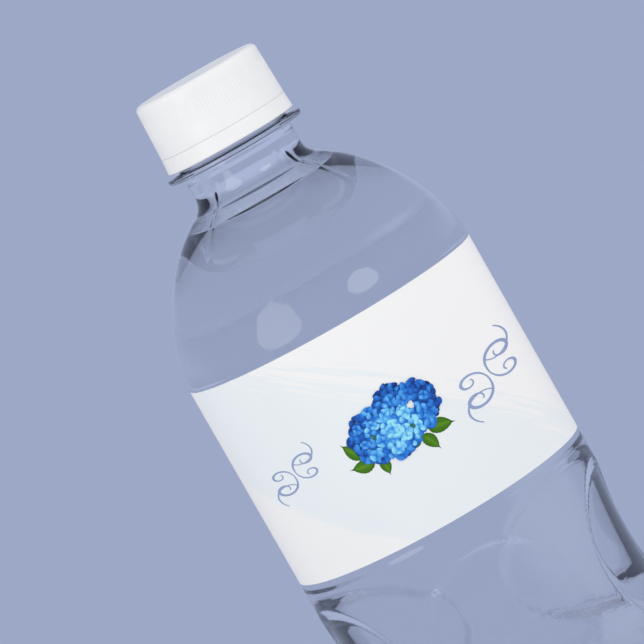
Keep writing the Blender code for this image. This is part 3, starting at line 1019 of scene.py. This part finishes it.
wash = {
    "lean": math.radians(35),  # the brush ran down to the right
    "paper": (0.900, 0.893, 0.885),
    # painted shade: the paper tone on the label's left, darker because less light falls there
    "paperShadeLeft": (0.882, 0.878, 0.868),
    "sides": (1.092, 1.083, 1.073),  # painted light: how much lighter the print gets round the sides, to cancel the shade there
    "tint": (0.830, 0.866, 0.876),
    "tintDeep": (0.795, 0.842, 0.860),
    "upper": 7.2,
    "upperSoft": 1.2,
    "lower": -23,
    "lowerSoft": (2.5, 1),
    "streaks": 46,
    "stretch": (0.035, 0.85, 1),  # long along the brush, fine across it
    "cloud": 0.05,
    "cloudRange": (0.1, 0.75),
    "leftShadeFade": (-30, 10),
    "sideLightFade": (10, 44),
    "fade": (40, 50),  # where the wash ends at the sides of the bottle
}


def labelFilm(grain):
    # white film with one pale brush wash across its front, dry and streaky along its upper edge; painted
    # light makes it lighter round the sides and painted shade darker on the left
    made, nodes, links, shader = newMaterial("labelFilm")
    addGrain(nodes, links, shader, grain, 420, 0.004 * mm, rough=(0.36, 0.46))
    length = labelRadius * (math.tau + label["overlap"]) / mm
    height = (labelHigh.z - labelLow.z) / mm
    uv = nodes.new("ShaderNodeUVMap")
    uv.uv_map = "UVMap"
    inMm = nodes.new("ShaderNodeMapping")
    inMm.inputs["Location"].default_value = (-length / 2, -height / 2, 0)
    inMm.inputs["Scale"].default_value = (length, height, 1)
    brush = nodes.new("ShaderNodeMapping")
    brush.inputs["Rotation"].default_value[2] = wash["lean"]
    stretch = nodes.new("ShaderNodeMapping")
    stretch.inputs["Scale"].default_value = wash["stretch"]
    streak = nodes.new("ShaderNodeTexNoise")
    streak.inputs["Scale"].default_value = 1
    streak.inputs["Detail"].default_value = 4
    streak.inputs["Roughness"].default_value = 0.62
    cloud = nodes.new("ShaderNodeTexNoise")
    cloud.inputs["Scale"].default_value = wash["cloud"]
    flat = nodes.new("ShaderNodeSeparateXYZ")
    across = nodes.new("ShaderNodeSeparateXYZ")
    links.new(uv.outputs["UV"], inMm.inputs["Vector"])
    links.new(inMm.outputs["Vector"], brush.inputs["Vector"])
    links.new(brush.outputs["Vector"], stretch.inputs["Vector"])
    links.new(stretch.outputs["Vector"], streak.inputs["Vector"])
    links.new(inMm.outputs["Vector"], cloud.inputs["Vector"])
    links.new(inMm.outputs["Vector"], flat.inputs["Vector"])
    links.new(brush.outputs["Vector"], across.inputs["Vector"])

    tree = made.node_tree
    lean = mathNode(tree, "SUBTRACT", streak.outputs["Fac"], 0.5)
    offset = mathNode(tree, "MULTIPLY", lean, wash["streaks"])
    edge = mathNode(tree, "ADD", across.outputs["Y"], offset)
    dry = rampNode(tree, edge, wash["upper"] - wash["upperSoft"], wash["upper"] + wash["upperSoft"], 1, 0)
    little = mathNode(tree, "MULTIPLY", offset, 0.12)
    foot = mathNode(tree, "ADD", across.outputs["Y"], little)
    wet = rampNode(tree, foot, wash["lower"] - wash["lowerSoft"][0], wash["lower"] + wash["lowerSoft"][1])
    away = mathNode(tree, "ABSOLUTE", flat.outputs["X"], 0)
    ends = rampNode(tree, away, *wash["fade"], 1, 0)
    mask = mathNode(tree, "MULTIPLY", mathNode(tree, "MULTIPLY", dry, wet), ends)
    slope = mathNode(tree, "MULTIPLY", flat.outputs["X"], -0.012)
    patch = mathNode(tree, "MULTIPLY", cloud.outputs["Fac"], 0.5)
    deep = rampNode(tree, mathNode(tree, "ADD", slope, patch), *wash["cloudRange"])
    tint = blendNode(tree, deep, wash["tint"], wash["tintDeep"])
    # painted shade: the paper darkens towards the left
    outOfLeftShade = rampNode(tree, flat.outputs["X"], *wash["leftShadeFade"])
    paper = blendNode(tree, outOfLeftShade, wash["paperShadeLeft"], wash["paper"])
    printed = blendNode(tree, mask, paper, tint)
    # painted light: the colour is lifted towards the sides, where the film turns away from the lamps
    paintedSideLight = rampNode(tree, away, *wash["sideLightFade"])
    sides = blendNode(tree, paintedSideLight, printed, wash["sides"], "MULTIPLY")
    links.new(sides, shader.inputs["Base Color"])
    return made


def labelBackGlow(grain):
    # the film is thin, so a little of the light outside comes through to its inner side; here that light
    # is painted, as a glow on the inner side
    made, nodes, links, shader = newMaterial("labelBackGlow")
    tones = ((0.94, 0.945, 0.955), (0.96, 0.965, 0.97))
    addGrain(nodes, links, shader, grain, 300, 0.004 * mm, tones, (0.5, 0.6))
    # painted light: the inner side glows a pale blue, though it is no lamp
    shader.inputs["Emission Color"].default_value = (0.55, 0.65, 0.96, 1)
    shader.inputs["Emission Strength"].default_value = 0.40
    return made


def printInk():
    made, nodes, links, shader = newMaterial("printInk")
    ink = nodes.new("ShaderNodeAttribute")
    ink.attribute_name = "ink"
    speck = nodes.new("ShaderNodeTexNoise")
    speck.inputs["Scale"].default_value = 2600
    spread = nodes.new("ShaderNodeMapRange")
    spread.inputs["To Min"].default_value, spread.inputs["To Max"].default_value = 0.82, 1.18
    place = nodes.new("ShaderNodeTexCoord")
    links.new(place.outputs["Object"], speck.inputs["Vector"])
    links.new(speck.outputs["Fac"], spread.inputs["Value"])
    shade = blendNode(made.node_tree, 1, ink.outputs["Color"], spread.outputs["Result"], "MULTIPLY")
    links.new(shade, shader.inputs["Base Color"])
    shader.inputs["Roughness"].default_value = 0.42
    shader.inputs["Specular IOR Level"].default_value = 0.2
    return made


view = {
    "distance": 1.10,
    "height": 240 * mm,
    "turn": math.radians(-2.2),
    "target": 131.03 * mm,
    "side": -2.28 * mm,
    "roll": math.radians(-29.7),
    "frameWidth": 136.1 * mm,
}
stage = {
    "backdrop": (0.337, 0.392, 0.570),
    "zenith": (0.265, 0.310, 0.455),
    "panel": (0.388, 0.450, 0.625),  # a pale card behind the bottle, to its left
    "panelTurn": 21,
    "glow": (0.455, 0.525, 0.735),  # a soft brighter band low behind the bottle
    "leftAmbient": (0.80, 0.80, 0.81),
    "rightAmbient": (0.99, 0.99, 0.985),
    "frontAmbient": (1.03, 1.03, 1.02),
    "floor": (0.420, 0.470, 0.620),
    "floorRadius": 0.26,
    "floorFade": (0.35, 0.98),  # shares of the radius between which the floor fades out
    "zenithFade": (0.35, 0.90),  # how far up a ray points, for this and the next two
    "glowLow": (-0.03, 0.02),
    "glowHigh": (0.20, 0.07),
    "glowBehind": (0.2, 0.6),
    "panelEdge": (17, 8),  # degrees from the card's middle
    "frontFade": (-0.7, 1),
    # azimuth from the camera, distance, middle height, width, height, power
    "softLeft": (-38.5, 1.15, 0.45, 0.78, 0.92, 1.85),
    "softRight": (33, 1.15, 0.50, 0.54, 0.43, 2.3),
}


def makeCamera():
    bpy.ops.object.camera_add()
    camera = bpy.context.object
    camera.name = "camera"
    toward = Vector((-math.sin(-view["turn"]), -math.cos(view["turn"]), 0))
    right = Vector((-toward.y, toward.x, 0))
    eye = toward * view["distance"] + Vector((0, 0, view["height"]))
    target = Vector((0, 0, view["target"])) + right * view["side"]
    camera.location = eye
    look = (target - eye).to_track_quat("-Z", "Y")
    camera.rotation_euler = (look @ Quaternion((0, 0, 1), view["roll"])).to_euler()
    camera.data.lens = camera.data.sensor_width * (target - eye).length / view["frameWidth"]
    camera.data.clip_start = 0.05
    bpy.context.scene.camera = camera
    return camera


def makeSoftbox(name, facets, spot):
    degrees, away, height, width, tall, power = spot
    azimuth = front + view["turn"] + math.radians(degrees)
    bpy.ops.mesh.primitive_circle_add(vertices=facets, radius=0.5, fill_type="NGON")
    box = bpy.context.object
    box.name = name
    box.location = (away * math.cos(azimuth), away * math.sin(azimuth), height)
    box.rotation_euler = (Vector((0, 0, 0.13)) - box.location).to_track_quat("Z", "Y").to_euler()
    box.scale = (width, tall, 1)
    settle(box)
    glow = bpy.data.materials.new(name)
    glow.use_nodes = True
    nodes, links = glow.node_tree.nodes, glow.node_tree.links
    nodes.clear()
    emit = nodes.new("ShaderNodeEmission")
    emit.inputs["Strength"].default_value = power
    out = nodes.new("ShaderNodeOutputMaterial")
    links.new(emit.outputs[0], out.inputs["Surface"])
    box.data.materials.append(glow)
    box.visible_camera = False
    box.visible_transmission = False
    return box


def makeFloor():
    bpy.ops.mesh.primitive_circle_add(vertices=96, radius=stage["floorRadius"], fill_type="NGON")
    floor = bpy.context.object
    floor.name = "floor"
    floor.location.z = -0.05 * mm
    settle(floor)
    made, nodes, links, shader = newMaterial("floor")
    shader.inputs["Base Color"].default_value = (*stage["floor"], 1)
    shader.inputs["Roughness"].default_value = 0.8
    shader.inputs["Specular IOR Level"].default_value = 0.1
    place = nodes.new("ShaderNodeTexCoord")
    reach = nodes.new("ShaderNodeVectorMath")
    reach.operation = "LENGTH"
    links.new(place.outputs["Object"], reach.inputs[0])
    low, high = (stage["floorRadius"] * share for share in stage["floorFade"])
    fade = rampNode(made.node_tree, reach.outputs["Value"], low, high, 1, 0)
    links.new(fade, shader.inputs["Alpha"])
    floor.data.materials.append(made)
    return floor


def makeSky():
    # an even backdrop, a darker ceiling for what bends upwards and a soft white fill for matt surfaces
    world = bpy.data.worlds.new("sky")
    bpy.context.scene.world = world
    world.use_nodes = True
    tree = world.node_tree
    nodes, links = tree.nodes, tree.links
    sky = nodes["Background"]
    path = nodes.new("ShaderNodeLightPath")
    place = nodes.new("ShaderNodeTexCoord")
    up = nodes.new("ShaderNodeSeparateXYZ")
    links.new(place.outputs["Generated"], up.inputs["Vector"])

    def toward(direction):
        node = nodes.new("ShaderNodeVectorMath")
        node.operation = "DOT_PRODUCT"
        node.inputs[1].default_value = direction
        links.new(place.outputs["Generated"], node.inputs[0])
        return node.outputs["Value"]

    overhead = rampNode(tree, up.outputs["Z"], *stage["zenithFade"])
    ceiling = blendNode(tree, overhead, stage["backdrop"], stage["zenith"])
    low = rampNode(tree, up.outputs["Z"], *stage["glowLow"])
    high = rampNode(tree, up.outputs["Z"], *stage["glowHigh"])
    strip = mathNode(tree, "MULTIPLY", low, high)
    behind = mathNode(tree, "MULTIPLY", strip, rampNode(tree, up.outputs["Y"], *stage["glowBehind"]))
    ceiling = blendNode(tree, behind, ceiling, stage["glow"])
    aim = front + math.pi + math.radians(stage["panelTurn"])
    card = toward((math.cos(aim), math.sin(aim), 0))
    inCard = rampNode(tree, card, *(math.cos(math.radians(edge)) for edge in stage["panelEdge"]))
    seen = blendNode(tree, inCard, ceiling, stage["panel"])
    fromRight = rampNode(tree, toward((1, 0, 0)), -1, 1)
    sides = blendNode(tree, fromRight, stage["leftAmbient"], stage["rightAmbient"])
    fromFront = rampNode(tree, toward((0, -1, 0)), *stage["frontFade"])
    soft = blendNode(tree, fromFront, sides, stage["frontAmbient"])
    seen = blendNode(tree, path.outputs["Is Diffuse Ray"], seen, soft)
    seen = blendNode(tree, path.outputs["Is Camera Ray"], seen, stage["backdrop"])
    links.new(seen, sky.inputs["Color"])


grain = grainGroup()
makeBottle(clearPlastic(grain))
print("bottle done")
makeWater(waterLook())
print("water done")
white = whitePlastic(grain)
makeCap(white)
makeBand(white)
makeLiner(linerFoam(grain))
print("cap done")
makeLabel(labelFilm(grain), labelBackGlow(grain))
ink = printInk()
makeLeaves(ink)
makeFlower(ink)
makeScroll("scrollLeft", scroll["left"], ink)
makeScroll("scrollRight", scroll["right"], ink)
print("label done")
makeFloor()
makeSoftbox("softLeft", 8, stage["softLeft"])
makeSoftbox("softRight", 8, stage["softRight"])
makeSky()
makeCamera()
bpy.context.scene.view_settings.view_transform = "Standard"
